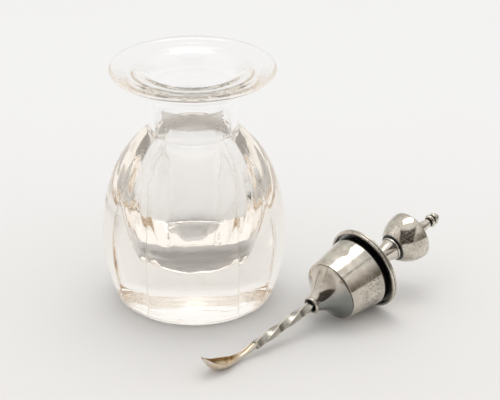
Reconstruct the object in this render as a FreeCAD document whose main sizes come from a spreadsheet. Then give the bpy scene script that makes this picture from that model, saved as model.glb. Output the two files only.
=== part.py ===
"""Cut-glass bottle with a silver plug stopper that carries a twisted stem and a small gilt spoon.

The bottle stands on the XY plane with its axis on +Z. The stopper lies on the same plane in front
of it, on the edge of its flange and the belly of its spoon. Its pieces are drawn in the stopper's
own frame, with the flange's seat at the origin, the knob along +Z and the spoon along -Z, and one
placement lays them all down together. Lengths are in millimetres and angles in degrees.
"""

import FreeCAD, Part
import math
import os

import Sketcher
from FreeCAD import Placement, Rotation, Vector

DIMENSIONS = [
    # Glass bottle: radii and heights of its outline
    ("base_radius", 23.95),
    ("foot_radius", 28.0),
    ("foot_height", 3.2),
    ("foot_curve", 5.5),
    ("barrel_curve", 61.4),
    ("shoulder_height", 48.7),
    ("shoulder_curve", 38.2),
    ("crease_radius", 15.7),
    ("crease_height", 64.9),
    ("neck_top_radius", 16.0),
    ("neck_top_height", 77.5),
    ("flare_end_radius", 23.5),
    ("flare_end_height", 84.7),
    ("flare_curve", 8.2),
    ("rim_radius", 29.06),
    ("rim_edge_height", 85.7),
    ("rim_edge_curve", 1.15),
    ("bottle_height", 88.0),
    ("lip_bend_radius", 18.4),
    ("lip_bend_height", 87.2),
    ("lip_curve", 6.2),
    ("bore_radius", 13.25),
    ("bore_top_height", 81.6),
    ("bore_length", 18.0),
    ("cavity_radius", 20.5),
    ("cavity_mid_height", 38.0),
    ("cavity_upper_curve", 34.0),
    ("cavity_floor_height", 16.5),
    ("cavity_floor_radius", 7.0),
    ("cavity_lower_curve", 50.0),
    ("cavity_wall_foot_height", 23.0),
    ("cavity_wall_foot_radius", 14.2),
    ("cavity_corner_curve", 11.0),
    # Flat panels ground between the four broad faces
    ("flat_count", 4),
    ("flat_foot_distance", 27.5),
    ("flat_barrel_curve", 70.0),
    ("flat_shoulder_distance", 27.35),
    ("flat_tip_distance", 22.2),
    ("flat_tip_height", 57.7),
    ("flat_shoulder_curve", 23.0),
    ("flat_cut_reach", 44.0),
    ("flat_cut_foot", -5.0),
    ("flat_cut_width", 60.0),
    # Stopper: plug, flange and end cone
    ("silver_wall", 0.8),
    ("plate_thickness", 0.9),
    ("plate_radius", 14.0),
    ("plate_step_radius", 7.5),
    ("flange_radius", 15.27),
    ("wire_bead_radius", 0.46),
    ("plug_cove_radius", 11.5),
    ("plug_cove_depth", 2.0),
    ("plug_top_radius", 12.95),
    ("plug_top_depth", 3.3),
    ("plug_shoulder_curve", 1.4),
    ("plug_end_radius", 11.15),
    ("plug_end_depth", 16.8),
    ("cone_lip_radius", 10.6),
    ("cone_lip_end_radius", 10.5),
    ("cone_lip_height", 0.5),
    ("cone_lip_curve", 0.4),
    ("cone_lip_overlap", 0.2),
    ("cone_end_radius", 3.0),
    ("cone_end_depth", 25.8),
    ("cone_curve", 13.5),
    ("ferrule_roll", 0.5),
    ("ferrule_bore_radius", 2.4),
    ("ferrule_end_depth", 27.1),
    # Twisted square stem and the spoon bowl at its end
    ("stem_side", 2.9),
    ("stem_twist_start_depth", 22.0),
    ("stem_end_depth", 54.1),
    ("stem_turn_length", 41.0),
    ("stem_roll", 20.0),
    ("spoon_wall", 0.5),
    # Pedestal, knob and finial above the flange
    ("pedestal_foot_radius", 6.0),
    ("pedestal_foot_height", 1.3),
    ("pedestal_waist_radius", 2.9),
    ("pedestal_waist_height", 7.6),
    ("pedestal_foot_curve", 7.0),
    ("pedestal_top_radius", 4.1),
    ("pedestal_top_height", 13.3),
    ("pedestal_top_curve", 13.5),
    ("collar_radius", 4.55),
    ("collar_bore_radius", 2.4),
    ("collar_top_height", 14.5),
    ("collar_bead_curve", 0.8),
    ("knob_seat_radius", 5.0),
    ("knob_radius", 9.0),
    ("knob_rim_height", 23.6),
    ("knob_bowl_curve", 12.5),
    ("knob_edge_curve", 1.0),
    ("knob_edge_radius", 8.35),
    ("knob_edge_height", 24.5),
    ("knob_dome_curve", 24.0),
    ("knob_opening_radius", 1.4),
    ("finial_base_radius", 3.9),
    ("finial_base_height", 25.6),
    ("finial_base_curve", 16.0),
    ("finial_neck_radius", 1.5),
    ("finial_neck_height", 32.9),
    ("finial_bead_radius", 2.4),
    ("finial_bead_low_height", 33.6),
    ("finial_bead_thickness", 1.3),
    ("finial_groove_radius", 1.25),
    ("finial_ring_low_height", 35.5),
    ("finial_ring_radius", 2.15),
    ("finial_ring_thickness", 1.0),
    ("finial_button_radius", 1.6),
    ("finial_top_height", 38.3),
    # Where the stopper lies beside the bottle
    ("lying_x", 60.0),
    ("lying_y", -9.06),
    ("lying_z", 14.87),
    ("lying_heading", 43.2),
    ("lying_tilt", 12.3),
]

# Spoon bowl, section by section: depth below the flange, half width, then how far the outer
# bottom, the inner bottom and the rim stand from the stem's axis (the rim side is negative)
SPOON_SECTIONS = [
    (54.1, 1.25, 1.35, -0.70, -1.25),
    (57.0, 1.20, 1.30, -0.10, -0.60),
    (60.3, 1.25, 1.20, 0.30, -0.40),
    (63.9, 1.65, 1.00, 0.45, -1.10),
    (66.5, 2.45, 0.70, 0.15, -1.80),
    (69.0, 3.00, 0.05, -0.50, -2.75),
    (71.5, 3.05, -0.80, -1.35, -3.95),
    (73.3, 2.90, -1.95, -2.50, -5.30),
    (74.8, 2.50, -3.60, -4.15, -6.70),
    (75.9, 1.90, -5.40, -5.90, -7.95),
    (76.6, 1.20, -7.00, -7.40, -8.80),
    (77.0, 0.60, -8.25, -8.50, -9.20),
]

# A bead's arc has a slightly larger radius than half its height, so that it is under a half circle
BEAD_FULLNESS = 1.12
# How far the foot of a bead lies inside its outer edge, as a share of the bead's half height
BEAD_SETBACK = 0.6
# The spoon's wall is never more than this share of its half width
SPOON_WALL_SHARE = 0.4
# Square sections that carry the stem's twist
TWIST_STEPS = 14
# The four flats take at least this much glass away, in cubic millimetres
LEAST_FLAT_CUT = 100

doc = FreeCAD.newDocument("SpoonStopperBottle")
sheet = doc.addObject("Spreadsheet::Sheet", "Dimensions")
for row, (alias, value) in enumerate(DIMENSIONS, start=1):
    sheet.set(f"A{row}", alias.replace("_", " "))
    sheet.set(f"B{row}", str(value))
    sheet.setAlias(f"B{row}", alias)
doc.recompute()


class Size:
    """A length with its value and the spreadsheet formula that gives it."""

    def __init__(self, value, formula):
        self.value = value
        self.formula = formula

    @staticmethod
    def of(item):
        return item if isinstance(item, Size) else Size(float(item), str(item))

    def combine(self, other, sign, value):
        return Size(value, f"({self.formula} {sign} {other.formula})")

    def __add__(self, other):
        other = Size.of(other)
        return self.combine(other, "+", self.value + other.value)

    def __sub__(self, other):
        other = Size.of(other)
        return self.combine(other, "-", self.value - other.value)

    def __mul__(self, other):
        other = Size.of(other)
        return self.combine(other, "*", self.value * other.value)

    def __neg__(self):
        return Size(-self.value, f"(-1 * {self.formula})")


def number(alias):
    """The value of one spreadsheet cell."""
    return float(getattr(sheet, alias))


def size(alias):
    """One spreadsheet cell as a Size that sketches can be bound to."""
    return Size(number(alias), f"Dimensions.{alias}")


def line(x, y):
    return {"end": (Size.of(x), Size.of(y))}


def arc(x, y, radius, centre_on_left):
    return {"end": (Size.of(x), Size.of(y)), "radius": Size.of(radius), "left": centre_on_left}


def arc_geometry(start, end, radius, centre_on_left):
    """The shorter arc between two points, as sketch geometry."""
    chord = end - start
    side = Vector(-chord.y, chord.x, 0).normalize() * (1 if centre_on_left else -1)
    centre = (start + end) * 0.5 + side * math.sqrt(radius**2 - (chord.Length / 2) ** 2)
    first, last = (start, end) if centre_on_left else (end, start)
    first_angle = math.atan2(first.y - centre.y, first.x - centre.x)
    last_angle = math.atan2(last.y - centre.y, last.x - centre.x)
    circle = Part.Circle(centre, Vector(0, 0, 1), radius)
    return Part.ArcOfCircle(circle, first_angle, last_angle)


def add_outline(sketch, segments):
    """Draw a closed outline whose every corner and radius is bound to the spreadsheet."""
    ends = []
    start = segments[-1]["end"]
    for segment in segments:
        end = segment["end"]
        start_point = Vector(start[0].value, start[1].value, 0)
        end_point = Vector(end[0].value, end[1].value, 0)
        if "radius" in segment:
            shape = arc_geometry(start_point, end_point, segment["radius"].value, segment["left"])
            index = sketch.addGeometry(shape, False)
            ends.append((index, 1, 2) if segment["left"] else (index, 2, 1))
            bind(sketch, Sketcher.Constraint("Radius", index, segment["radius"].value), segment["radius"])
        else:
            index = sketch.addGeometry(Part.LineSegment(start_point, end_point), False)
            ends.append((index, 1, 2))
        start = end
    for position, segment in enumerate(segments):
        index, _, tail = ends[position]
        next_index, next_head, _ = ends[(position + 1) % len(ends)]
        sketch.addConstraint(Sketcher.Constraint("Coincident", index, tail, next_index, next_head))
        place_point(sketch, index, tail, segment["end"])


def bind(sketch, constraint, length):
    """Add a dimension constraint that follows a spreadsheet formula."""
    index = sketch.addConstraint(constraint)
    sketch.setExpression(f"Constraints[{index}]", length.formula)


def place_point(sketch, index, vertex, point):
    """Hold a sketch point at its distances from the two axes."""
    origin, horizontal_axis, vertical_axis = (-1, 1), -1, -2
    across, up = point
    if across.value == 0:
        sketch.addConstraint(Sketcher.Constraint("PointOnObject", index, vertex, vertical_axis))
    else:
        bind(sketch, Sketcher.Constraint("DistanceX", *origin, index, vertex, across.value), across)
    if up.value == 0:
        sketch.addConstraint(Sketcher.Constraint("PointOnObject", index, vertex, horizontal_axis))
    else:
        bind(sketch, Sketcher.Constraint("DistanceY", *origin, index, vertex, up.value), up)


def new_sketch(body, name, turn_about_axis=0):
    """A sketch on the body's upright plane: across is the radius, up is +Z."""
    sketch = body.newObject("Sketcher::SketchObject", name)
    plane = next(item for item in body.Origin.OriginFeatures if item.Role == "XZ_Plane")
    sketch.AttachmentSupport = [(plane, "")]
    sketch.MapMode = "FlatFace"
    sketch.AttachmentOffset = Placement(Vector(), Rotation(Vector(0, 1, 0), turn_about_axis))
    return sketch


def turned_body(name, segments):
    """A body turned about its own Z axis from one closed outline."""
    body = doc.addObject("PartDesign::Body", name)
    body.Label = name
    sketch = new_sketch(body, f"{name}_outline")
    add_outline(sketch, segments)
    doc.recompute()
    turning = body.newObject("PartDesign::Revolution", f"{name}_turning")
    turning.Profile = sketch
    turning.ReferenceAxis = (sketch, ["V_Axis"])
    turning.Angle = 360
    sketch.Visibility = False
    doc.recompute()
    return body


def build_glass_bottle():
    """Thick blown body with four convex broad faces, four ground flats and a wide turned-out rim."""
    bore_foot = size("bore_top_height") - size("bore_length")
    body = turned_body("glass_bottle", [
        line(size("base_radius"), 0),
        arc(size("foot_radius"), size("foot_height"), size("foot_curve"), True),
        arc(size("foot_radius"), size("shoulder_height"), size("barrel_curve"), True),
        arc(size("crease_radius"), size("crease_height"), size("shoulder_curve"), True),
        line(size("neck_top_radius"), size("neck_top_height")),
        arc(size("flare_end_radius"), size("flare_end_height"), size("flare_curve"), False),
        line(size("rim_radius") - size("rim_edge_curve"), size("rim_edge_height")),
        arc(size("rim_radius") - size("rim_edge_curve"), size("bottle_height"), size("rim_edge_curve"), True),
        line(size("lip_bend_radius"), size("lip_bend_height")),
        arc(size("bore_radius"), size("bore_top_height"), size("lip_curve"), True),
        line(size("bore_radius"), bore_foot),
        arc(size("cavity_radius"), size("cavity_mid_height"), size("cavity_upper_curve"), False),
        arc(size("cavity_wall_foot_radius"), size("cavity_wall_foot_height"),
            size("cavity_lower_curve"), False),
        arc(size("cavity_floor_radius"), size("cavity_floor_height"), size("cavity_corner_curve"), False),
        line(0, size("cavity_floor_height")),
        line(0, 0),
    ])
    blank_volume = body.Shape.Volume
    between_faces = 180 / number("flat_count")
    sketch = new_sketch(body, "flat_outline", between_faces)
    add_outline(sketch, [
        line(size("flat_cut_reach"), size("flat_cut_foot")),
        line(size("flat_cut_reach"), size("flat_tip_height")),
        line(size("flat_tip_distance"), size("flat_tip_height")),
        arc(size("flat_shoulder_distance"), size("shoulder_height"), size("flat_shoulder_curve"), False),
        arc(size("flat_foot_distance"), size("foot_height"), size("flat_barrel_curve"), False),
        line(size("flat_foot_distance"), size("flat_cut_foot")),
    ])
    doc.recompute()
    flat = body.newObject("PartDesign::Pocket", "ground_flat")
    flat.Profile = sketch
    flat.Midplane = True
    flat.Length = number("flat_cut_width")
    sketch.Visibility = False
    doc.recompute()
    pattern = body.newObject("PartDesign::PolarPattern", "ground_flats")
    pattern.Originals = [flat]
    pattern.Axis = (next(item for item in body.Origin.OriginFeatures if item.Role == "Z_Axis"), [""])
    pattern.Angle = 360
    pattern.Occurrences = int(number("flat_count"))
    body.Tip = pattern
    doc.recompute()
    if body.Shape.Volume > blank_volume - LEAST_FLAT_CUT:
        raise RuntimeError("the ground flats took no glass away")
    return body


def build_flange_plate():
    """Disc that closes the top of the plug and rests in the bottle's funnel."""
    return turned_body("flange_plate", [
        line(size("plate_radius"), 0),
        line(size("plate_radius"), size("plate_thickness")),
        line(size("plate_step_radius"), size("plate_thickness")),
        line(size("pedestal_foot_radius"), size("pedestal_foot_height")),
        line(0, size("pedestal_foot_height")),
        line(0, 0),
    ])


def build_flange_rim_wire():
    """Double-beaded wire soldered round the edge of the flange plate."""
    bead = size("wire_bead_radius")
    beads_edge = size("flange_radius") - bead
    top = size("plate_thickness")
    middle = top - bead * 2
    return turned_body("flange_rim_wire", [
        line(beads_edge, middle - bead * 2),
        arc(beads_edge, middle, bead * BEAD_FULLNESS, True),
        arc(beads_edge, top, bead * BEAD_FULLNESS, True),
        line(size("plate_radius"), top),
        line(size("plate_radius"), middle - bead * 2),
    ])


def build_plug_sleeve():
    """Tapered silver tube with a rounded shoulder and a cove under the flange."""
    wall = size("silver_wall")
    shoulder_depth = size("plug_cove_depth")
    return turned_body("plug_sleeve", [
        line(size("plug_cove_radius"), 0),
        line(size("plug_cove_radius"), -shoulder_depth),
        arc(size("plug_top_radius"), -size("plug_top_depth"), size("plug_shoulder_curve"), False),
        line(size("plug_end_radius"), -size("plug_end_depth")),
        line(size("plug_end_radius") - wall, -size("plug_end_depth")),
        line(size("plug_top_radius") - wall, -size("plug_top_depth")),
        line(size("plug_cove_radius") - wall, -(shoulder_depth + wall)),
        line(size("plug_cove_radius") - wall, 0),
    ])


def build_plug_end_cone():
    """Trumpet-shaped cone that closes the plug and narrows to the stem."""
    wall = size("silver_wall")
    inner_radius = size("cone_lip_radius") - wall * 2
    lip_depth = size("plug_end_depth") + size("cone_lip_height")
    inner_depth = size("plug_end_depth") + size("cone_lip_overlap")
    return turned_body("plug_end_cone", [
        arc(size("cone_lip_end_radius"), -lip_depth, size("cone_lip_curve"), False),
        arc(size("cone_end_radius"), -size("cone_end_depth"), size("cone_curve"), True),
        line(size("ferrule_bore_radius"), -size("cone_end_depth")),
        arc(inner_radius, -inner_depth, size("cone_curve"), False),
        line(inner_radius, -size("plug_end_depth")),
        line(size("cone_lip_radius"), -size("plug_end_depth")),
    ])


def build_stem_ferrule():
    """Rolled ring at the cone's narrow end, round the mouth that the stem comes out of."""
    roll = size("ferrule_roll")
    return turned_body("stem_ferrule", [
        line(size("cone_end_radius"), -size("cone_end_depth")),
        line(size("cone_end_radius"), -(size("ferrule_end_depth") - roll * 2)),
        arc(size("cone_end_radius"), -size("ferrule_end_depth"), roll * BEAD_FULLNESS, False),
        line(size("ferrule_bore_radius"), -size("ferrule_end_depth")),
        line(size("ferrule_bore_radius"), -size("cone_end_depth")),
    ])


def build_knob_pedestal():
    """Waisted spool between the flange plate and the knob."""
    wall = size("silver_wall")
    return turned_body("knob_pedestal", [
        line(size("pedestal_foot_radius"), size("pedestal_foot_height")),
        arc(size("pedestal_waist_radius"), size("pedestal_waist_height"), size("pedestal_foot_curve"), False),
        arc(size("pedestal_top_radius"), size("pedestal_top_height"), size("pedestal_top_curve"), False),
        line(size("pedestal_waist_radius") - wall, size("pedestal_top_height")),
        line(size("pedestal_waist_radius") - wall, size("pedestal_foot_height")),
    ])


def build_knob_collar_ring():
    """Beaded ring that seats the knob on its pedestal."""
    bead = size("collar_bead_curve")
    inner_face = size("collar_radius") - bead * BEAD_SETBACK
    return turned_body("knob_collar_ring", [
        line(inner_face, size("pedestal_top_height")),
        arc(inner_face, size("collar_top_height"), bead, True),
        line(size("collar_bore_radius"), size("collar_top_height")),
        line(size("collar_bore_radius"), size("pedestal_top_height")),
    ])


def build_knob_bowl():
    """Deep lower half of the hollow knob, pierced where it stands on its collar."""
    wall = size("silver_wall")
    inner_curve = size("knob_bowl_curve") - wall
    return turned_body("knob_bowl", [
        line(size("knob_opening_radius"), size("collar_top_height")),
        line(size("knob_seat_radius"), size("collar_top_height")),
        arc(size("knob_radius"), size("knob_rim_height"), size("knob_bowl_curve"), True),
        line(size("knob_radius") - wall, size("knob_rim_height")),
        arc(size("knob_seat_radius"), size("collar_top_height") + wall, inner_curve, False),
        line(size("knob_opening_radius"), size("collar_top_height") + wall),
    ])


def build_knob_cover():
    """Low dome that closes the knob, with a rounded edge and a flat seat for the finial."""
    wall = size("silver_wall")
    rim = size("knob_radius")
    seat_height = size("finial_base_height")
    return turned_body("knob_cover", [
        line(rim, size("knob_rim_height")),
        arc(size("knob_edge_radius"), size("knob_edge_height"), size("knob_edge_curve"), True),
        arc(size("finial_base_radius"), seat_height, size("knob_dome_curve"), True),
        line(size("knob_opening_radius"), seat_height),
        line(size("knob_opening_radius"), seat_height - wall),
        line(size("finial_base_radius"), seat_height - wall),
        arc(size("knob_edge_radius") - wall, size("knob_edge_height") - wall, size("knob_dome_curve"), False),
        line(rim - wall, size("knob_rim_height")),
    ])


def build_finial():
    """Cast finial: hollow-sided cone, two beads with a groove between them and a button."""
    base_height = size("finial_base_height")
    bead = size("finial_bead_thickness") * 0.5
    bead_edge = size("finial_bead_radius") - bead * BEAD_SETBACK
    bead_low = size("finial_bead_low_height")
    ring = size("finial_ring_thickness") * 0.5
    ring_edge = size("finial_ring_radius") - ring * BEAD_SETBACK
    ring_low = size("finial_ring_low_height")
    ring_high = ring_low + ring * 2
    button = size("finial_button_radius")
    return turned_body("finial", [
        line(size("finial_base_radius"), base_height),
        arc(size("finial_neck_radius"), size("finial_neck_height"), size("finial_base_curve"), False),
        line(size("finial_neck_radius"), bead_low),
        line(bead_edge, bead_low),
        arc(bead_edge, bead_low + bead * 2, bead * BEAD_FULLNESS, True),
        line(size("finial_groove_radius"), bead_low + bead * 2),
        line(size("finial_groove_radius"), ring_low),
        line(ring_edge, ring_low),
        arc(ring_edge, ring_high, ring * BEAD_FULLNESS, True),
        line(button, ring_high),
        line(button, size("finial_top_height") - button),
        arc(0, size("finial_top_height"), button, True),
        line(0, base_height),
    ])


def square_wire(side, height, turn):
    """A square section of the stem, turned about the stopper's axis."""
    half_diagonal = side / math.sqrt(2)
    corners = []
    for quarter in range(4):
        angle = math.radians(turn + 90 * quarter)
        corners.append(Vector(half_diagonal * math.cos(angle), half_diagonal * math.sin(angle), height))
    return Part.makePolygon(corners + corners[:1])


def build_twisted_stem():
    """Square silver wire, plain inside the plug and twisted left-handed below it."""
    side = number("stem_side")
    roll = number("stem_roll")
    twist_start = -number("stem_twist_start_depth")
    stem_end = -number("stem_end_depth")
    plain = Part.makeLoft([square_wire(side, 0, roll), square_wire(side, twist_start, roll)], True, True)
    sections = []
    for step in range(TWIST_STEPS + 1):
        height = twist_start + (stem_end - twist_start) * step / TWIST_STEPS
        turn = roll + 360 * (twist_start - height) / number("stem_turn_length")
        sections.append(square_wire(side, height, turn))
    twisted = Part.makeLoft(sections, True, False)
    stem = doc.addObject("Part::Feature", "twisted_stem")
    stem.Shape = plain.fuse(twisted).removeSplitter()
    return stem


def spoon_section(depth, half_width, outer_bottom, inner_bottom, rim):
    """A trough-shaped section: outer arc, rim, inner arc, rim."""
    wall = min(number("spoon_wall"), half_width * SPOON_WALL_SHARE)
    height = -depth

    def at(across, side):
        return Vector(across, side, height)

    outer = Part.Arc(at(rim, -half_width), at(outer_bottom, 0), at(rim, half_width)).toShape()
    inner = Part.Arc(at(rim, half_width - wall), at(inner_bottom, 0), at(rim, wall - half_width)).toShape()
    left_rim = Part.makeLine(at(rim, half_width), at(rim, half_width - wall))
    right_rim = Part.makeLine(at(rim, wall - half_width), at(rim, -half_width))
    return Part.Wire([outer, left_rim, inner, right_rim])


def build_spoon_bowl():
    """Narrow scoop with raised sides and a tip that curls up."""
    bowl = doc.addObject("Part::Feature", "spoon_bowl")
    bowl.Shape = Part.makeLoft([spoon_section(*section) for section in SPOON_SECTIONS], True, False)
    return bowl


def lying_placement():
    """Turns the stopper's +Z to its heading and tilt, with its flange centre where it lies."""
    heading = Rotation(Vector(0, 0, 1), number("lying_heading"))
    lean = Rotation(Vector(0, 1, 0), 90 - number("lying_tilt"))
    position = Vector(number("lying_x"), number("lying_y"), number("lying_z"))
    return Placement(position, heading.multiply(lean))


def build_stopper():
    """All the soldered pieces of the stopper, laid down beside the bottle."""
    pieces = [
        build_flange_plate(),
        build_flange_rim_wire(),
        build_plug_sleeve(),
        build_plug_end_cone(),
        build_stem_ferrule(),
        build_twisted_stem(),
        build_spoon_bowl(),
        build_knob_pedestal(),
        build_knob_collar_ring(),
        build_knob_bowl(),
        build_knob_cover(),
        build_finial(),
    ]
    for piece in pieces:
        piece.Label = piece.Name
        piece.Placement = lying_placement()
        for axis in ("x", "y", "z"):
            piece.setExpression(f"Placement.Base.{axis}", f"Dimensions.lying_{axis}")
    doc.recompute()
    return pieces


def check_document(pieces):
    """Stop on any failed feature or faulty solid."""
    for item in doc.Objects:
        if "Invalid" in item.State or "Error" in item.State:
            raise RuntimeError(f"{item.Label} did not compute: {item.State}")
    for piece in pieces:
        shape = piece.Shape
        if shape.isNull() or not shape.isValid() or len(shape.Solids) != 1:
            raise RuntimeError(f"{piece.Label} is not one valid solid")


def export(pieces):
    os.makedirs("parts", exist_ok=True)
    for piece in pieces:
        piece.Shape.exportStep(f"parts/{piece.Label}.step")
        box = piece.Shape.BoundBox
        print(f"{piece.Label}: {piece.Shape.Volume:.1f} mm3, lowest point {box.ZMin:.2f} mm")


all_pieces = [build_glass_bottle()] + build_stopper()
check_document(all_pieces)
export(all_pieces)
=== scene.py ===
"""Looks of the cut-glass bottle and its silver spoon stopper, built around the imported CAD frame.

Every turned piece is made again from the outline of its own CAD node, as a finer mesh with rounded
edges and the small dents of an old piece. The stem and the spoon are modelled along the stopper's
axis, which is read from the frame too. Lengths are in metres.
"""

import math

import bmesh
import bpy
from mathutils import Matrix, Vector, noise


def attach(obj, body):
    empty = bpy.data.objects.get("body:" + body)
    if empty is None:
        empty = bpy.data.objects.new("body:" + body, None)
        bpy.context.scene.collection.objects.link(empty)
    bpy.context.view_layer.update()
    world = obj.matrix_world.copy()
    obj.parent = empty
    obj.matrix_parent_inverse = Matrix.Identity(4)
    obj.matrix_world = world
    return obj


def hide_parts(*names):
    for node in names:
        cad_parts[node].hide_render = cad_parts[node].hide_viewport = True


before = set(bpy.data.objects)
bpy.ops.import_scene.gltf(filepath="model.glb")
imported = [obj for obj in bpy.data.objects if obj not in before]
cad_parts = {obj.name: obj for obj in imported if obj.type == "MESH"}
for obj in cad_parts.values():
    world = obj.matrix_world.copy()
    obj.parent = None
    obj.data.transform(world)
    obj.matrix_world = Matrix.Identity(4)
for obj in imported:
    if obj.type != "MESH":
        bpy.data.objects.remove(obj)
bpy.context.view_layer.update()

MM = 0.001
UP = Vector((0, 0, 1))


# ---------------------------------------------------------------- frame of the stopper

def surface_centre(node):
    """Area-weighted centre of a CAD node's surface, which lies on the axis of a turned piece."""
    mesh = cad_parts[node].data
    total, weighted = 0.0, Vector()
    for face in mesh.polygons:
        total += face.area
        weighted += face.area * face.center
    return weighted / total


def stopper_matrix():
    """From the stopper's own frame to the row frame: flange seat at the origin, knob along +Z."""
    flange = surface_centre("flange_rim_wire")
    axis = (surface_centre("knob_bowl") - flange).normalized()
    seat = max((v.co - flange).dot(axis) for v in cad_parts["plug_sleeve"].data.vertices)
    down = (-UP + UP.dot(axis) * axis).normalized()
    side = axis.cross(down)
    turned = Matrix((down, side, axis)).transposed().to_4x4()
    return Matrix.Translation(flange + axis * seat) @ turned


STOPPER = stopper_matrix()
UPRIGHT = Matrix.Identity(4)


# ---------------------------------------------------------------- outlines of turned pieces

def seam_outline(node, placement):
    """The outline (radius, height) of a turned CAD node, cut along the plane of its seam."""
    mesh = bmesh.new()
    mesh.from_mesh(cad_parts[node].data)
    mesh.transform(placement.inverted())
    bmesh.ops.remove_doubles(mesh, verts=mesh.verts, dist=1e-7)
    everything = mesh.verts[:] + mesh.edges[:] + mesh.faces[:]
    bmesh.ops.bisect_plane(mesh, geom=everything, dist=1e-7, plane_no=(1, 0, 0), clear_inner=True)
    everything = mesh.verts[:] + mesh.edges[:] + mesh.faces[:]
    cut = bmesh.ops.bisect_plane(mesh, geom=everything, dist=2e-6, plane_no=(0, 1, 0))["geom_cut"]
    edges = [item for item in cut if isinstance(item, bmesh.types.BMEdge)]
    neighbours = {}
    for edge in edges:
        for near, far in (edge.verts, reversed(edge.verts)):
            neighbours.setdefault(near, []).append(far)
    ends = [v for v, around in neighbours.items() if len(around) == 1]
    start = min(ends, key=lambda v: v.co.z) if ends else min(neighbours, key=lambda v: v.co.z)
    chain, previous, current = [start], None, start
    while True:
        onward = [v for v in neighbours[current] if v is not previous and v is not start]
        if not onward:
            break
        previous, current = current, onward[0]
        chain.append(current)
    points = [(max(0.0, v.co.x), v.co.z) for v in chain]
    mesh.free()
    return points, not ends


def turn_at(before, here, after):
    first = Vector((here[0] - before[0], here[1] - before[1]))
    second = Vector((after[0] - here[0], after[1] - here[1]))
    if first.length < 1e-9 or second.length < 1e-9:
        return 0.0
    return abs(first.angle_signed(second))


def without_straight_points(points, closed):
    """Drop points that lie on a straight stretch."""
    kept = []
    last = len(points) - 1
    for index, point in enumerate(points):
        if not closed and index in (0, last):
            kept.append(point)
        elif turn_at(points[index - 1], point, points[(index + 1) % len(points)]) > 0.002:
            kept.append(point)
    return kept


def along(start, end, share):
    return (start[0] + (end[0] - start[0]) * share, start[1] + (end[1] - start[1]) * share)


def softened(points, closed, radius, sharpest=math.radians(38)):
    """Round the sharp corners and hold the straight stretches with a point near each end."""
    count = len(points)
    result = []
    for index, point in enumerate(points):
        is_end = not closed and index in (0, count - 1)
        if is_end:
            result.append(point)
            continue
        before, after = points[index - 1], points[(index + 1) % count]
        back, forward = math.dist(point, before), math.dist(point, after)
        if turn_at(before, point, after) > sharpest:
            cut = min(radius, 0.3 * back, 0.3 * forward)
            middle = along(along(point, before, cut / back), along(point, after, cut / forward), 0.5)
            result.append(along(point, before, 2 * cut / back))
            result.append(along(point, before, cut / back))
            result.append(along(point, middle, 0.5))
            result.append(along(point, after, cut / forward))
            result.append(along(point, after, 2 * cut / forward))
        else:
            step = min(back, forward)
            if back > 3 * step:
                result.append(along(point, before, step / back))
            result.append(point)
            if forward > 3 * step:
                result.append(along(point, after, step / forward))
    return result


def smooth_line(points, closed, spacing):
    """Points of a smooth curve through the given ones, about spacing apart."""
    count = len(points)
    spans = count if closed else count - 1
    result = []
    for index in range(spans):
        p1, p2 = Vector(points[index]), Vector(points[(index + 1) % count])
        p0 = Vector(points[index - 1]) if closed or index else p1 * 2 - p2
        p3 = Vector(points[(index + 2) % count]) if closed or index < spans - 1 else p2 * 2 - p1
        length = (p2 - p1).length
        if length < 1e-9:
            continue
        lead, trail = (p1 - p0).length or length, (p3 - p2).length or length
        out_of = ((p1 - p0) / lead * length + (p2 - p1) / length * lead) / (lead + length)
        into = ((p2 - p1) / length * trail + (p3 - p2) / trail * length) / (trail + length)
        pieces = max(1, min(24, math.ceil(length / spacing)))
        for piece in range(pieces):
            t = piece / pieces
            point = (p1 * (2 * t**3 - 3 * t**2 + 1) + out_of * length * (t**3 - 2 * t**2 + t)
                     + p2 * (3 * t**2 - 2 * t**3) + into * length * (t**3 - t**2))
            result.append((max(0.0, point.x), point.y))
    if not closed:
        result.append(points[-1])
    return result


def fine_outline(node, placement, radius, spacing):
    points, closed = seam_outline(node, placement)
    points = without_straight_points(points, closed)
    return smooth_line(softened(points, closed, radius), closed, spacing), closed


# ---------------------------------------------------------------- meshes

def make_object(name, mesh, placement, body, nodes, materials, marks=None):
    """Finish a piece: painted marks, place, shading, materials, and what it stands for."""
    bmesh.ops.remove_doubles(mesh, verts=mesh.verts, dist=2e-7)
    bmesh.ops.recalc_face_normals(mesh, faces=mesh.faces)
    data = bpy.data.meshes.new(name)
    mesh.to_mesh(data)
    mesh.free()
    for mark, value_at in (marks or {}).items():
        paint(data, mark, value_at)
    data.transform(placement)
    data.shade_smooth()
    for material in materials:
        data.materials.append(material)
    piece = bpy.data.objects.new(name, data)
    bpy.context.scene.collection.objects.link(piece)
    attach(piece, body)
    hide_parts(*nodes)
    return piece


def bridge_rings(mesh, rings, closed):
    """Quads between rings of vertices, which have the same number each."""
    rows = len(rings) if closed else len(rings) - 1
    for row in range(rows):
        lower, upper = rings[row], rings[(row + 1) % len(rings)]
        count = len(lower)
        for index in range(count):
            corner = (lower[index], lower[(index + 1) % count], upper[(index + 1) % count], upper[index])
            mesh.faces.new(corner)


def turned_mesh(outline, closed, segments, place):
    """Turn an outline about Z; place(radius, height, azimuth) gives each vertex."""
    mesh = bmesh.new()
    rings = []
    for radius, height in outline:
        ring = []
        for index in range(segments):
            azimuth = 2 * math.pi * index / segments
            ring.append(mesh.verts.new(place(radius, height, azimuth)))
        rings.append(ring)
    bridge_rings(mesh, rings, closed)
    return mesh


def polar(radius, azimuth, height):
    return Vector((radius * math.cos(azimuth), radius * math.sin(azimuth), height))


def paint(data, name, value_at):
    """Store a number from 0 to 1 on every vertex; value_at takes the point in millimetres."""
    layer = data.attributes.new(name, "FLOAT", "POINT")
    values = [min(1.0, max(0.0, value_at(v.co / MM))) for v in data.vertices]
    layer.data.foreach_set("value", values)


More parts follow.
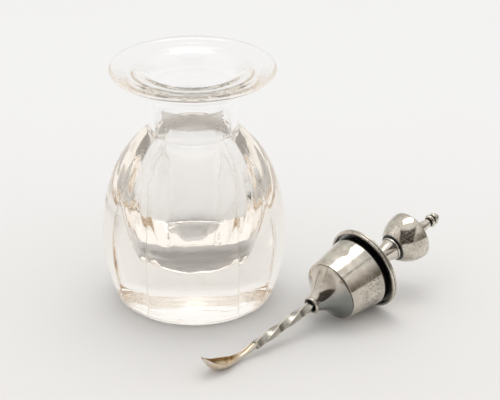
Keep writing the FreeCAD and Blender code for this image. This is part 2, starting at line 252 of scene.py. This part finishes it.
def ramp(value, low, high):
    """0 below low, 1 above high, smooth between; low may be above high."""
    t = min(1.0, max(0.0, (value - low) / (high - low)))
    return t * t * (3 - 2 * t)


# ---------------------------------------------------------------- node helpers

def new_material(name):
    material = bpy.data.materials.new(name)
    material.use_nodes = True
    tree = material.node_tree
    shader = tree.nodes["Principled BSDF"]
    return material, tree, shader


def noise_field(tree, scale, detail=3.0, roughness=0.55, distortion=0.0, stretch=(1, 1, 1)):
    """Noise from 0 to 1 in the piece's own coordinates; scale is in features per metre."""
    coordinates = tree.nodes.new("ShaderNodeTexCoord")
    mapping = tree.nodes.new("ShaderNodeMapping")
    mapping.inputs["Scale"].default_value = stretch
    texture = tree.nodes.new("ShaderNodeTexNoise")
    texture.inputs["Scale"].default_value = scale
    texture.inputs["Detail"].default_value = detail
    texture.inputs["Roughness"].default_value = roughness
    texture.inputs["Distortion"].default_value = distortion
    tree.links.new(coordinates.outputs["Object"], mapping.inputs["Vector"])
    tree.links.new(mapping.outputs["Vector"], texture.inputs["Vector"])
    return texture.outputs["Fac"]


def cell_field(tree, scale):
    """Distance to the nearest of scattered points, for pits."""
    coordinates = tree.nodes.new("ShaderNodeTexCoord")
    texture = tree.nodes.new("ShaderNodeTexVoronoi")
    texture.inputs["Scale"].default_value = scale
    tree.links.new(coordinates.outputs["Object"], texture.inputs["Vector"])
    return texture.outputs["Distance"]


def remap(tree, value, low, high, out_low=0.0, out_high=1.0):
    """Smooth step of value from low..high to out_low..out_high."""
    node = tree.nodes.new("ShaderNodeMapRange")
    node.interpolation_type = "SMOOTHSTEP"
    tree.links.new(value, node.inputs["Value"])
    node.inputs["From Min"].default_value = low
    node.inputs["From Max"].default_value = high
    node.inputs["To Min"].default_value = out_low
    node.inputs["To Max"].default_value = out_high
    return node.outputs["Result"]


def combine(tree, operation, first, second):
    node = tree.nodes.new("ShaderNodeMath")
    node.operation = operation
    node.use_clamp = True
    for socket, value in zip(node.inputs, (first, second)):
        if isinstance(value, float):
            socket.default_value = value
        else:
            tree.links.new(value, socket)
    return node.outputs["Value"]


def combine_wide(tree, operation, value):
    """A one-input operation whose result may leave 0..1."""
    node = tree.nodes.new("ShaderNodeMath")
    node.operation = operation
    tree.links.new(value, node.inputs[0])
    return node.outputs["Value"]


def painted(tree, name):
    node = tree.nodes.new("ShaderNodeAttribute")
    node.attribute_name = name
    return node.outputs["Fac"]


def mix_colour(tree, factor, first, second):
    node = tree.nodes.new("ShaderNodeMix")
    node.data_type = "RGBA"
    tree.links.new(factor, node.inputs[0])
    for socket, value in ((node.inputs[6], first), (node.inputs[7], second)):
        if isinstance(value, tuple):
            socket.default_value = value + (1.0,)
        else:
            tree.links.new(value, socket)
    return node.outputs[2]


def add_bump(tree, shader, heights):
    """Stack bumps; each is (height field, depth in metres)."""
    normal = None
    for height, depth in heights:
        bump = tree.nodes.new("ShaderNodeBump")
        bump.inputs["Strength"].default_value = 1.0
        bump.inputs["Distance"].default_value = depth
        tree.links.new(height, bump.inputs["Height"])
        if normal is not None:
            tree.links.new(normal, bump.inputs["Normal"])
        normal = bump.outputs["Normal"]
    tree.links.new(normal, shader.inputs["Normal"])


# ---------------------------------------------------------------- materials

SILVER_LIGHT = (0.76, 0.71, 0.635)
SILVER_DULL = (0.60, 0.55, 0.48)
SILVER_DARK = (0.10, 0.085, 0.075)
SULPHIDE_AND_SHADE = (0.020, 0.018, 0.020)
BLUE_FILM_SHADE_AND_REFLECTION = (0.235, 0.245, 0.235)
GILT_RIM = (0.74, 0.62, 0.49)
GILT_BOWL = (0.40, 0.28, 0.15)


def silver(name, rough_low, rough_high, pit_share, dull_share, stretch=(1, 1, 1)):
    """Old silver: cloudy tone, small dark pits, dents too fine to model, tarnish with painted shade in
    hollows and joints, and a painted blue-grey reflection.
    """
    material, tree, shader = new_material(name)
    cloud = noise_field(tree, 200, 4.0, 0.6, 0.3, stretch)
    grain = noise_field(tree, 2600, 3.0, 0.6, 0.0, stretch)
    spots = noise_field(tree, 1500, 5.0, 0.72, 0.3)
    pitting = painted(tree, "pitting")
    spots = combine(tree, "ADD", spots, combine(tree, "MULTIPLY", pitting, 0.10))
    pits = remap(tree, spots, 0.66 - pit_share, 0.72 - pit_share)
    deep_pits = remap(tree, cell_field(tree, 620), 0.16, 0.06)
    deep_pits = combine(tree, "MULTIPLY", deep_pits, pitting)
    marks = combine(tree, "MAXIMUM", combine(tree, "MULTIPLY", pits, 0.8), deep_pits)
    dull = remap(tree, cloud, 0.66 - dull_share, 0.40 - dull_share)
    colour = mix_colour(tree, dull, SILVER_LIGHT, SILVER_DULL)
    colour = mix_colour(tree, marks, colour, SILVER_DARK)
    # Painted on the mesh: tarnish together with painted shade in hollows, creases and joints, blue-grey
    # at first and black where deepest; a painted blue-grey reflection adds to the blue.
    tarnish_and_shade = painted(tree, "tarnish_and_shade")
    blue = combine(tree, "MAXIMUM", remap(tree, tarnish_and_shade, 0.02, 0.40), painted(tree, "painted_blue_reflection"))
    black = remap(tree, tarnish_and_shade, 0.30, 0.95)
    colour = mix_colour(tree, blue, colour, BLUE_FILM_SHADE_AND_REFLECTION)
    colour = mix_colour(tree, black, colour, SULPHIDE_AND_SHADE)
    tree.links.new(colour, shader.inputs["Base Color"])
    shader.inputs["Metallic"].default_value = 1.0
    roughness = remap(tree, cloud, 0.3, 0.7, rough_low, rough_high)
    roughness = combine(tree, "ADD", roughness, combine(tree, "MULTIPLY", marks, 0.22))
    roughness = combine(tree, "ADD", roughness, combine(tree, "MULTIPLY", black, 0.3))
    tree.links.new(roughness, shader.inputs["Roughness"])
    marks_up = combine(tree, "SUBTRACT", 1.0, marks)
    add_bump(tree, shader, [(cloud, 0.00004), (grain, 0.00001), (marks_up, 0.00003)])
    return material


def gilt_silver():
    """Spoon bowl: worn gilding, pinkish gold outside and brown gold inside."""
    material, tree, shader = new_material("gilt_silver")
    cloud = noise_field(tree, 420, 4.0, 0.6, 0.5)
    grain = noise_field(tree, 2400, 3.0, 0.6)
    worn = remap(tree, cloud, 0.62, 0.46)
    inside = painted(tree, "gilding")
    outside_tone = mix_colour(tree, worn, SILVER_LIGHT, GILT_RIM)
    inside_tone = mix_colour(tree, worn, (0.58, 0.44, 0.28), GILT_BOWL)
    colour = mix_colour(tree, inside, outside_tone, inside_tone)
    marks = remap(tree, noise_field(tree, 1300, 5.0, 0.68, 0.3), 0.60, 0.70)
    colour = mix_colour(tree, combine(tree, "MULTIPLY", marks, 0.6), colour, SILVER_DARK)
    # Tarnish with painted shade at the joint with the stem.
    tarnish_and_shade = remap(tree, painted(tree, "tarnish_and_shade"), 0.3, 0.9)
    colour = mix_colour(tree, tarnish_and_shade, colour, SULPHIDE_AND_SHADE)
    tree.links.new(colour, shader.inputs["Base Color"])
    shader.inputs["Metallic"].default_value = 1.0
    roughness = combine(tree, "ADD", remap(tree, cloud, 0.3, 0.7, 0.16, 0.34), marks)
    tree.links.new(combine(tree, "MULTIPLY", roughness, 0.8), shader.inputs["Roughness"])
    add_bump(tree, shader, [(cloud, 0.00008), (grain, 0.000015)])
    return material


def clear_glass():
    """Thick old glass, faintly warm where it is deep, with a few fine scratches, rough along the worn
    arrises, which carry a beige tint as a painted reflection.
    """
    material, tree, shader = new_material("clear_glass")
    shader.inputs["Transmission Weight"].default_value = 1.0
    shader.inputs["IOR"].default_value = 1.5
    wear = remap(tree, noise_field(tree, 900, 4.0, 0.7), 0.66, 0.78, 0.0, 0.10)
    arris = combine(tree, "MULTIPLY", painted(tree, "arris"), 0.42)
    tree.links.new(combine(tree, "ADD", wear, arris), shader.inputs["Roughness"])
    # Painted reflection: a beige tint along the worn arrises.
    arris_reflection_tint = mix_colour(tree, painted(tree, "arris"), (1.0, 1.0, 1.0), (0.88, 0.84, 0.78))
    tree.links.new(arris_reflection_tint, shader.inputs["Base Color"])
    add_glass_depth(tree)
    return material


def add_glass_depth(tree):
    absorption = tree.nodes.new("ShaderNodeVolumeAbsorption")
    absorption.inputs["Color"].default_value = (0.89, 0.81, 0.70, 1)
    absorption.inputs["Density"].default_value = 7.0
    tree.links.new(absorption.outputs["Volume"], tree.nodes["Material Output"].inputs["Volume"])


def ground_glass():
    """The bore where the plug was ground in: grey, scratched around the neck."""
    material, tree, shader = new_material("ground_glass")
    rings = noise_field(tree, 300, 4.0, 0.7, 0.0, (1, 1, 9))
    tone = mix_colour(tree, remap(tree, rings, 0.35, 0.65), (1.0, 0.98, 0.94), (0.80, 0.76, 0.70))
    tree.links.new(tone, shader.inputs["Base Color"])
    shader.inputs["Transmission Weight"].default_value = 0.85
    shader.inputs["IOR"].default_value = 1.5
    tree.links.new(remap(tree, rings, 0.3, 0.7, 0.25, 0.6), shader.inputs["Roughness"])
    add_glass_depth(tree)
    return material


AGED = silver("aged_silver", 0.06, 0.17, 0.02, 0.02)
AGED_FLANGE = silver("aged_silver_edge", 0.12, 0.30, 0.05, 0.03)
WORN = silver("worn_silver", 0.19, 0.30, -0.01, 0.0)
GILT = gilt_silver()
GLASS = clear_glass()
GROUND = ground_glass()


# ---------------------------------------------------------------- glass bottle

GLASS_EDGE = 0.35 * MM
GLASS_SPACING = 0.80 * MM
FLAT_COUNT = 4
ARRIS_ROUND = 0.20 * MM
# Width of the worn band along each arris, which also carries a painted beige reflection.
ARRIS_WEAR_AND_REFLECTION = 0.38 * MM
FLAT_RUN_OUT = 2.2 * MM
FLAT_SAMPLES = 10
ROUND_SAMPLES = 21
NARROWEST_FLAT = math.radians(3)


def flat_line(outside, neck_height):
    """How far the ground flats stand from the axis: points (height, distance) below the neck."""
    direction = Vector((1, 1, 0)).normalized()
    points = {}
    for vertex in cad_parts["glass_bottle"].data.vertices:
        across = vertex.co.dot(direction)
        off_line = (vertex.co - UP * vertex.co.z - across * direction).length
        radius = read_line(outside, vertex.co.z)
        if vertex.co.z < neck_height and off_line < 0.36 * across and radius:
            if 0.6 * radius < across < radius - 0.3 * MM:
                height = round(vertex.co.z, 6)
                points[height] = max(across, points.get(height, 0.0))
    hull = []
    for point in sorted(points.items()):
        while len(hull) > 1:
            (z0, d0), (z1, d1) = hull[-2:]
            if (d1 - d0) * (point[0] - z1) > (point[1] - d1) * (z1 - z0):
                break
            hull.pop()
        hull.append(point)
    return hull


def read_line(points, position):
    """Value of a line of (position, value) points, or None beyond its ends."""
    for (z0, d0), (z1, d1) in zip(points, points[1:]):
        if z0 <= position <= z1 and z1 > z0:
            return d0 + (d1 - d0) * (position - z0) / (z1 - z0)
    return None


def flat_distance(flats, height, radius):
    """Distance of a flat at a height, running out into the round body above its tip."""
    foot, tip = flats[0], flats[-1]
    if height <= foot[0]:
        return foot[1]
    if height <= tip[0]:
        return read_line(flats, height)
    run_out = ramp(height, tip[0], tip[0] + FLAT_RUN_OUT)
    return radius - 0.6 * MM * (1 - run_out) + 0.5 * MM * run_out


def soft_least(first, second, blend):
    return 0.5 * (first + second - math.sqrt((first - second) ** 2 + blend * blend))


def octant_shares():
    """Shares 0..1 over the flat, then over the round part, packed closer at the arris."""
    flat = [math.sin(0.5 * math.pi * i / FLAT_SAMPLES) for i in range(FLAT_SAMPLES)]
    rounded = [(i / ROUND_SAMPLES) ** 1.7 for i in range(ROUND_SAMPLES)]
    return flat, rounded


def ring_azimuths(edge):
    """Azimuths of one ring, with samples gathered at the edges of the flats."""
    flat, rounded = octant_shares()
    half = [edge * share for share in flat]
    half += [edge + (math.pi / FLAT_COUNT - edge) * share for share in rounded]
    ring = []
    for index in range(FLAT_COUNT):
        centre = math.pi / FLAT_COUNT + 2 * math.pi * index / FLAT_COUNT
        ring += [centre + angle for angle in half]
        ring += [centre + 2 * math.pi / FLAT_COUNT - angle
                 for angle in [math.pi / FLAT_COUNT] + half[:0:-1]]
    return ring


def build_glass_bottle():
    """The bottle, with ground flats outside and a slightly wavy blown cavity."""
    outline, closed = fine_outline("glass_bottle", UPRIGHT, GLASS_EDGE, GLASS_SPACING)
    top = max(range(len(outline)), key=lambda i: outline[i][1])
    lip = max(outline[top // 2:top + 1], key=lambda p: p[1])
    body_side = [point for point in outline[:top + 1] if point[0] > 0]
    neck = min((p for p in body_side if p[1] > 0.5 * lip[1]), key=lambda p: p[0])
    outside = sorted((height, radius) for radius, height in body_side if height <= neck[1])
    flats = flat_line(outside, neck[1])
    mesh = bmesh.new()
    arris = mesh.verts.layers.float.new("arris")
    rings = []
    for index, (radius, height) in enumerate(outline):
        is_outside = index <= top
        flat = None
        edge = math.radians(10)
        if is_outside and height < neck[1]:
            flat = flat_distance(flats, height, radius)
            if radius > 1e-6 and flat < radius:
                edge = math.acos(flat / radius)
            else:
                edge = 0.0
        edge = max(edge, NARROWEST_FLAT)
        ring = []
        for azimuth in ring_azimuths(edge):
            here = radius
            nearest = (azimuth % (2 * math.pi / FLAT_COUNT)) - math.pi / FLAT_COUNT
            if is_outside and flat is not None and height > 0.0015 * MM:
                here = soft_least(radius, flat / math.cos(nearest), ARRIS_ROUND)
                here = min(here, radius)
            spot = polar(1, azimuth, 0)
            if is_outside:
                wave = noise.noise(Vector((spot.x * 1.6, spot.y * 1.6, height * 45)))
                pull = noise.noise(Vector((spot.x * 4.5, spot.y * 4.5, height * 24 + 31)))
                below_neck = ramp(height, 0.064, 0.056)
                inward = 0.05 * (0.5 + 0.5 * wave) + 0.12 * (0.5 + 0.5 * pull) * below_neck
                here -= inward * MM * ramp(radius, 0.004, 0.012)
            else:
                wave = noise.noise(Vector((spot.x * 2.4, spot.y * 2.4, height * 20 + 5)))
                streak = noise.noise(Vector((spot.x * 6.5, spot.y * 6.5, height * 26 + 9)))
                depth = ramp(height, 0.066, 0.056)
                here += (0.34 * wave + 0.17 * streak) * MM * depth * ramp(radius, 0.002, 0.012)
            raised = height
            spread = Vector((spot.x * radius, spot.y * radius, 0))
            if is_outside and height < 0.01 * MM:
                hollows = 0.55 * (0.5 + 0.5 * noise.noise(spread * 150))
                hollows += 0.12 * (0.5 + 0.5 * noise.noise(spread * 430 + Vector((3, 0, 0))))
                raised += hollows * MM * ramp(radius, 0.0225, 0.0190)
            if not is_outside and height < 0.030:
                bumps = noise.noise(spread * 240 + Vector((0, 0, 7)))
                raised += 0.30 * MM * bumps * ramp(height, 0.030, 0.020)
            vertex = mesh.verts.new(polar(max(0.0, here), azimuth, raised))
            if is_outside and flat is not None and edge > 1.2 * NARROWEST_FLAT:
                away = (abs(nearest) - edge) * radius / ARRIS_WEAR_AND_REFLECTION
                chipped = noise.noise(Vector((spot.x * 9, spot.y * 9, height * 260)))
                vertex[arris] = math.exp(-away * away) * (0.75 + 0.5 * chipped)
            ring.append(vertex)
        rings.append(ring)
    bridge_rings(mesh, rings, closed)
    for face in mesh.faces:
        centre = face.calc_center_median()
        reach = math.hypot(centre.x, centre.y)
        front = math.degrees(math.atan2(centre.x, -centre.y))
        ragged = 5 * noise.noise(Vector((centre.z * 900, front * 0.1, 3)))
        is_bore = reach < neck[0] - 1.2 * MM and 0.0695 < centre.z < 0.0752
        if is_bore and abs(front) < 46 + ragged:
            face.material_index = 1
    return make_object("bottle_glass", mesh, UPRIGHT, "bottle", ["glass_bottle"],
                       [GLASS, GROUND])


# ---------------------------------------------------------------- turned silver

SILVER_EDGE = 0.10 * MM
SILVER_SPACING = 0.35 * MM
SEGMENTS = 200


def azimuth_of(at):
    return math.degrees(math.atan2(at.y, at.x))


def even_pitting(at):
    return 0.35


# Default for pieces without a painted blue-grey reflection.
def no_painted_blue_reflection(azimuth, height):
    return 0.0


def turned_silver(name, node, material, tarnish_and_shade, dent=None, edge=SILVER_EDGE,
                  wobble=0.05 * MM, pitting=even_pitting, painted_blue_reflection=no_painted_blue_reflection):
    """A turned silver piece with small dents; its darkening function of (radius, height), 0 for bright
    and 1 for black, paints tarnish together with painted shade in hollows and joints, and its blue
    function of (azimuth, height) paints a blue-grey reflection.
    """
    outline, closed = fine_outline(node, STOPPER, edge, SILVER_SPACING)
    seed = sum(map(ord, node))

    def place(radius, height, azimuth):
        spot = polar(radius, azimuth, height)
        low = noise.noise(spot * 170 + Vector((seed, 0, 0)))
        high = noise.noise(spot * 520 + Vector((0, seed, 0)))
        inward = wobble * (0.5 + 0.5 * low) + 0.3 * wobble * (0.5 + 0.5 * high)
        if dent:
            inward += dent(azimuth, height)
        return polar(max(0.0, radius - inward * ramp(radius, 0.0, 0.002)), azimuth, height)

    mesh = turned_mesh(outline, closed, SEGMENTS, place)
    marks = {"tarnish_and_shade": lambda at: tarnish_and_shade(math.hypot(at.x, at.y), at.z),
             "pitting": pitting,
             "painted_blue_reflection": lambda at: painted_blue_reflection(azimuth_of(at), at.z)}
    return make_object(name, mesh, STOPPER, "stopper", [node], [material], marks)


def plug_dent(azimuth, height):
    """One shallow dent in the sleeve."""
    around = math.atan2(math.sin(azimuth - math.pi), math.cos(azimuth - math.pi)) * 12
    along_axis = height / MM + 8
    return 0.30 * MM * math.exp(-(around / 2.6) ** 2 - (along_axis / 1.8) ** 2)


def plug_pitting(at):
    """The side that lay on shelves is the most pitted."""
    around = azimuth_of(at)
    return ramp(around, -125, -108) * ramp(around, -30, -55) * ramp(at.z, -16, -11) * ramp(at.z, -3, -6)


def build_stopper():
    # Each piece's darkening is tarnish together with painted shade: under the flange and in its crease,
    # in the cove by the flange, at the joints, in the grooves and at the seam of the knob.
    turned_silver("stopper_flange_plate", "flange_plate", AGED_FLANGE,
                  lambda r, z: ramp(z, 0.35, 0.05) * (0.26 + 0.6 * ramp(r, 12.9, 12.3)))
    turned_silver("stopper_flange_wire", "flange_rim_wire", AGED_FLANGE,
                  lambda r, z: max(0.9 * ramp(abs(z + 0.02), 0.12, 0.02), 0.5 * ramp(r, 14.25, 14.05)),
                  edge=0.05 * MM, wobble=0.06 * MM)
    turned_silver("stopper_plug_sleeve", "plug_sleeve", AGED,
                  lambda r, z: 0.9 * ramp(z, -2.9, -2.1) * ramp(r, 12.9, 12.2), plug_dent,
                  # Painted blue-grey reflection on the sleeve next to the flange.
                  pitting=plug_pitting, painted_blue_reflection=lambda around, z: 0.35 * ramp(z, -8.5, -3.4))
    turned_silver("stopper_plug_cone", "plug_end_cone", AGED,
                  lambda r, z: 0.6 * ramp(z, -17.05, -16.85),
                  pitting=lambda at: 0.0,
                  # Painted blue-grey reflection on the cone: faint all round, strong on one side.
                  painted_blue_reflection=lambda around, z: 0.15 + 0.8 * ramp(around, -150, -95) * ramp(around, 60, 20))
    turned_silver("stopper_stem_ferrule", "stem_ferrule", WORN,
                  lambda r, z: 0.5 * ramp(z, -26.12, -25.9) + 0.5 * ramp(r, 2.75, 2.5))
    turned_silver("stopper_knob_pedestal", "knob_pedestal", AGED,
                  lambda r, z: max(0.55 * ramp(z, 2.0, 1.4), 0.6 * ramp(z, 13.0, 13.28)))
    turned_silver("stopper_knob_collar", "knob_collar_ring", AGED,
                  lambda r, z: 0.42 * max(ramp(z, 13.5, 13.35), ramp(z, 14.3, 14.45)))
    turned_silver("stopper_knob_bowl", "knob_bowl", AGED,
                  lambda r, z: 0.7 * ramp(z, 14.7, 14.52), edge=0.05 * MM,
                  pitting=lambda at: 0.75)
    turned_silver("stopper_knob_cover", "knob_cover", AGED,
                  lambda r, z: 0.5 * ramp(r, 4.6, 4.0), edge=0.05 * MM, pitting=lambda at: 0.6)
    turned_silver("stopper_finial", "finial", AGED,
                  lambda r, z: max(ramp(r, 1.85, 1.45) * ramp(z, 33.0, 33.4) * ramp(z, 36.9, 36.6),
                                   ramp(abs(z - 33.3), 0.5, 0.2) * ramp(r, 2.0, 1.6)),
                  wobble=0.03 * MM)
    build_stem()
    build_spoon()


# ---------------------------------------------------------------- twisted stem

STEM_HALF_SIDE = 1.45 * MM
STEM_SQUARENESS = 22
STEM_TOP = -20.0 * MM
TWIST_TOP = -22.0 * MM
STEM_END = -54.1 * MM
TURN_LENGTH = 41.0 * MM
STEM_ROLL = math.radians(20)
STEM_SEGMENTS = 128
STEM_STEP = 0.25 * MM


def square_reach(angle):
    """Distance from the axis to a square's side, with its corners worn round."""
    power = STEM_SQUARENESS
    worn = (abs(math.cos(angle)) ** power + abs(math.sin(angle)) ** power) ** (1 / power)
    return STEM_HALF_SIDE / worn


def build_stem():
    mesh = bmesh.new()
    rings = []
    rows = round((STEM_TOP - STEM_END) / STEM_STEP)
    for row in range(rows + 1):
        height = STEM_TOP + (STEM_END - STEM_TOP) * row / rows
        turn = STEM_ROLL + 2 * math.pi * max(0.0, TWIST_TOP - height) / TURN_LENGTH
        ring = []
        for index in range(STEM_SEGMENTS):
            angle = 2 * math.pi * index / STEM_SEGMENTS
            uneven = noise.noise(polar(2 * MM, angle + turn, height) * 330)
            reach = square_reach(angle) - 0.05 * MM * (0.5 + 0.5 * uneven)
            ring.append(mesh.verts.new(polar(reach, angle + turn + math.pi / 4, height)))
        rings.append(ring)
    bridge_rings(mesh, rings, False)
    mesh.faces.new(rings[0])
    mesh.faces.new(list(reversed(rings[-1])))

    # Tarnish with painted shade: darker at the joint with the ferrule and on the faces between the
    # ridges, lighter on the worn ridges.
    def tarnish_and_shade(at):
        near_ferrule = ramp(at.z, -28.4, -27.1)
        worn_ridge = ramp(math.hypot(at.x, at.y), 1.62, 1.86)
        return max(0.6 * near_ferrule, 0.22 * (1 - worn_ridge))

    make_object("stopper_stem", mesh, STOPPER, "stopper", ["twisted_stem"], [WORN],
                {"tarnish_and_shade": tarnish_and_shade})


# ---------------------------------------------------------------- spoon

# Depth below the flange, half width, outer bottom, inner bottom and rim of the scoop, in millimetres
SPOON_SECTIONS = [
    (54.1, 1.25, 1.35, -0.70, -1.25),
    (57.0, 1.20, 1.30, -0.10, -0.60),
    (60.3, 1.25, 1.20, 0.30, -0.40),
    (63.9, 1.65, 1.00, 0.45, -1.10),
    (66.5, 2.45, 0.70, 0.15, -1.80),
    (69.0, 3.00, 0.05, -0.50, -2.75),
    (71.5, 3.05, -0.80, -1.35, -3.95),
    (73.3, 2.90, -1.95, -2.50, -5.30),
    (74.8, 2.50, -3.60, -4.15, -6.70),
    (75.9, 1.90, -5.40, -5.90, -7.95),
    (76.6, 1.20, -7.00, -7.40, -8.80),
    (77.0, 0.60, -8.25, -8.50, -9.20),
]
SPOON_WALL = 0.5
SPOON_WALL_SHARE = 0.4
SPOON_ROWS_BETWEEN = 8
SPOON_ARC = 28
SPOON_RIM = 6


def spoon_rows():
    """Sections in between the stated ones, on smooth curves."""
    rows = []
    last = len(SPOON_SECTIONS) - 1
    for index in range(last):
        around = [SPOON_SECTIONS[min(last, max(0, index + offset))] for offset in (-1, 0, 1, 2)]
        for step in range(SPOON_ROWS_BETWEEN):
            t = step / SPOON_ROWS_BETWEEN
            rows.append([0.5 * (2 * p1 + (p2 - p0) * t + (2 * p0 - 5 * p1 + 4 * p2 - p3) * t * t
                                + (3 * p1 - p0 - 3 * p2 + p3) * t**3)
                         for p0, p1, p2, p3 in zip(*around)])
    rows.append(list(SPOON_SECTIONS[-1]))
    return rows


def spoon_ring(half_width, outer, inner, rim):
    """Points (across, side, inside) around one section: outer arc, round rim, inner arc, round rim."""
    wall = min(SPOON_WALL, half_width * SPOON_WALL_SHARE)
    points = []
    for step in range(SPOON_ARC + 1):
        angle = math.pi * step / SPOON_ARC
        points.append((rim + (outer - rim) * math.sin(angle), -half_width * math.cos(angle), 0.0))
    for step in range(1, SPOON_RIM):
        angle = math.pi * step / SPOON_RIM
        side = half_width - 0.5 * wall * (1 - math.cos(angle))
        points.append((rim - 0.4 * wall * math.sin(angle), side, 0.3))
    for step in range(SPOON_ARC + 1):
        angle = math.pi * step / SPOON_ARC
        side = (half_width - wall) * math.cos(angle)
        points.append((rim + max(0.05, inner - rim) * math.sin(angle), side, 1.0))
    for step in range(1, SPOON_RIM):
        angle = math.pi * step / SPOON_RIM
        side = -half_width + 0.5 * wall * (1 + math.cos(angle))
        points.append((rim - 0.4 * wall * math.sin(angle), side, 0.3))
    return points


def build_spoon():
    mesh = bmesh.new()
    gilding = mesh.verts.layers.float.new("gilding")
    rings = []
    for depth, half_width, outer, inner, rim in spoon_rows():
        ring = []
        for across, side, inside in spoon_ring(half_width, outer, inner, rim):
            spot = Vector((across, side, -depth)) * MM
            dents = noise.noise(spot * 420)
            spot += Vector((0.05 * MM * dents, 0, 0))
            vertex = mesh.verts.new(spot)
            vertex[gilding] = inside * ramp(depth, 60.5, 64.5)
            ring.append(vertex)
        rings.append(ring)
    bridge_rings(mesh, rings, False)
    for ring in (rings[0], rings[-1]):
        centre = mesh.verts.new(sum((v.co for v in ring), Vector()) / len(ring))
        for index, vertex in enumerate(ring):
            mesh.faces.new((vertex, ring[(index + 1) % len(ring)], centre))
    # Tarnish with painted shade at the joint with the stem.
    make_object("stopper_spoon", mesh, STOPPER, "stopper", ["spoon_bowl"], [GILT],
                {"tarnish_and_shade": lambda at: 0.3 * ramp(at.z, -54.6, -54.1)})


build_glass_bottle()
build_stopper()


# ---------------------------------------------------------------- floor, light and camera

FLOOR_GAP = 0.2 * MM


def build_floor():
    """A pale table top, darker and a little warmer towards the front as painted shade, and faintly
    mottled.
    """
    material, tree, shader = new_material("pale_floor")
    place = tree.nodes.new("ShaderNodeTexCoord")
    parts = tree.nodes.new("ShaderNodeSeparateXYZ")
    tree.links.new(place.outputs["Object"], parts.inputs[0])
    # Painted shade: the front of the floor is darker and warmer, as the light falls from behind.
    painted_light_behind = remap(tree, parts.outputs["Y"], -0.10, 0.22)
    colour = mix_colour(tree, painted_light_behind, (0.715, 0.70, 0.68), (0.735, 0.735, 0.735))
    mottle = mix_colour(tree, noise_field(tree, 25, 4.0, 0.6), (0.985, 0.98, 0.975), (1.0, 1.0, 1.0))
    mottled = tree.nodes.new("ShaderNodeMix")
    mottled.data_type = "RGBA"
    mottled.blend_type = "MULTIPLY"
    mottled.inputs[0].default_value = 1.0
    tree.links.new(colour, mottled.inputs[6])
    tree.links.new(mottle, mottled.inputs[7])
    tree.links.new(mottled.outputs[2], shader.inputs["Base Color"])
    shader.inputs["Roughness"].default_value = 0.6
    mesh = bmesh.new()
    bmesh.ops.create_grid(mesh, x_segments=2, y_segments=2, size=4)
    data = bpy.data.meshes.new("floor")
    mesh.to_mesh(data)
    mesh.free()
    data.materials.append(material)
    floor = bpy.data.objects.new("floor", data)
    bpy.context.scene.collection.objects.link(floor)
    floor.location.z = -FLOOR_GAP


CAMERA_AT = Vector((0.01971, -0.81645, 0.41559))
CAMERA_PITCH = math.radians(90 - 24.88)
CAMERA_LENS = 184.2
SENSOR = 36


def build_camera():
    """A long lens from the front, looking down at the part."""
    data = bpy.data.cameras.new("camera")
    data.sensor_width = SENSOR
    data.lens = CAMERA_LENS
    camera = bpy.data.objects.new("camera", data)
    camera.location = CAMERA_AT
    camera.rotation_euler = (CAMERA_PITCH, 0, 0)
    bpy.context.scene.collection.objects.link(camera)
    bpy.context.scene.camera = camera


def area_light(name, at, target, width, depth, radiance, colour):
    """A soft box at a place, facing a target, of a given brightness as seen in a reflection."""
    data = bpy.data.lights.new(name, "AREA")
    data.shape = "RECTANGLE"
    data.size = width
    data.size_y = depth
    data.energy = radiance * math.pi * width * depth
    data.color = colour
    light = bpy.data.objects.new(name, data)
    light.location = at
    light.rotation_euler = (Vector(target) - Vector(at)).to_track_quat("-Z", "Y").to_euler()
    bpy.context.scene.collection.objects.link(light)


def world_direction(tree):
    """The x, y and z of the direction in which the surroundings are seen."""
    coordinates = tree.nodes.new("ShaderNodeTexCoord")
    parts = tree.nodes.new("ShaderNodeSeparateXYZ")
    tree.links.new(coordinates.outputs["Generated"], parts.inputs[0])
    return parts.outputs


def build_world():
    """A pale tent for glass, and the room that old silver mirrors: grey, with a dark photographer."""
    world = bpy.data.worlds.new("room")
    bpy.context.scene.world = world
    world.use_nodes = True
    tree = world.node_tree
    background = tree.nodes["Background"]
    x, y, z = world_direction(tree)
    front = remap(tree, y, 0.1, -0.5)
    beside = remap(tree, combine_wide(tree, "ABSOLUTE", x), 0.50, 0.44)
    upright = combine(tree, "MULTIPLY", remap(tree, z, 0.90, 0.84), remap(tree, z, -0.30, -0.20))
    person = combine(tree, "MULTIPLY", combine(tree, "MULTIPLY", front, beside), upright)
    above = remap(tree, z, 0.35, 0.9)
    low_right = combine(tree, "MULTIPLY", remap(tree, x, 0.30, 0.80), remap(tree, z, 0.66, 0.10))
    room = mix_colour(tree, front, (0.66, 0.66, 0.62), (0.58, 0.53, 0.49))
    room = mix_colour(tree, above, room, (0.92, 0.91, 0.88))
    room = mix_colour(tree, combine(tree, "MULTIPLY", low_right, 0.85), room, (0.13, 0.12, 0.09))
    mirrored = mix_colour(tree, combine(tree, "MULTIPLY", person, 0.94), room, (0.035, 0.025, 0.02))
    tent = mix_colour(tree, remap(tree, z, -0.1, 0.8), (0.92, 0.91, 0.90), (1.12, 1.12, 1.12))
    path = tree.nodes.new("ShaderNodeLightPath")
    is_mirror = combine(tree, "MULTIPLY", path.outputs["Is Glossy Ray"],
                        combine(tree, "LESS_THAN", path.outputs["Transmission Depth"], 0.5))
    colour = mix_colour(tree, is_mirror, tent, mirrored)
    tree.links.new(colour, background.inputs["Color"])
    background.inputs["Strength"].default_value = 1.0


def set_look():
    """Plain colours, and enough bounces for light that is caught inside the thick glass."""
    scene = bpy.context.scene
    scene.view_settings.view_transform = "Standard"
    scene.view_settings.look = "None"
    scene.cycles.use_denoising = True
    scene.cycles.max_bounces = 64
    scene.cycles.transmission_bounces = 64
    scene.cycles.glossy_bounces = 64
    scene.cycles.transparent_max_bounces = 16


build_floor()
build_camera()
area_light("key", (0.02, 0.22, 0.95), (0.03, 0, 0.04), 0.56, 0.46, 2.1, (1.0, 0.99, 0.97))
build_world()
set_look()
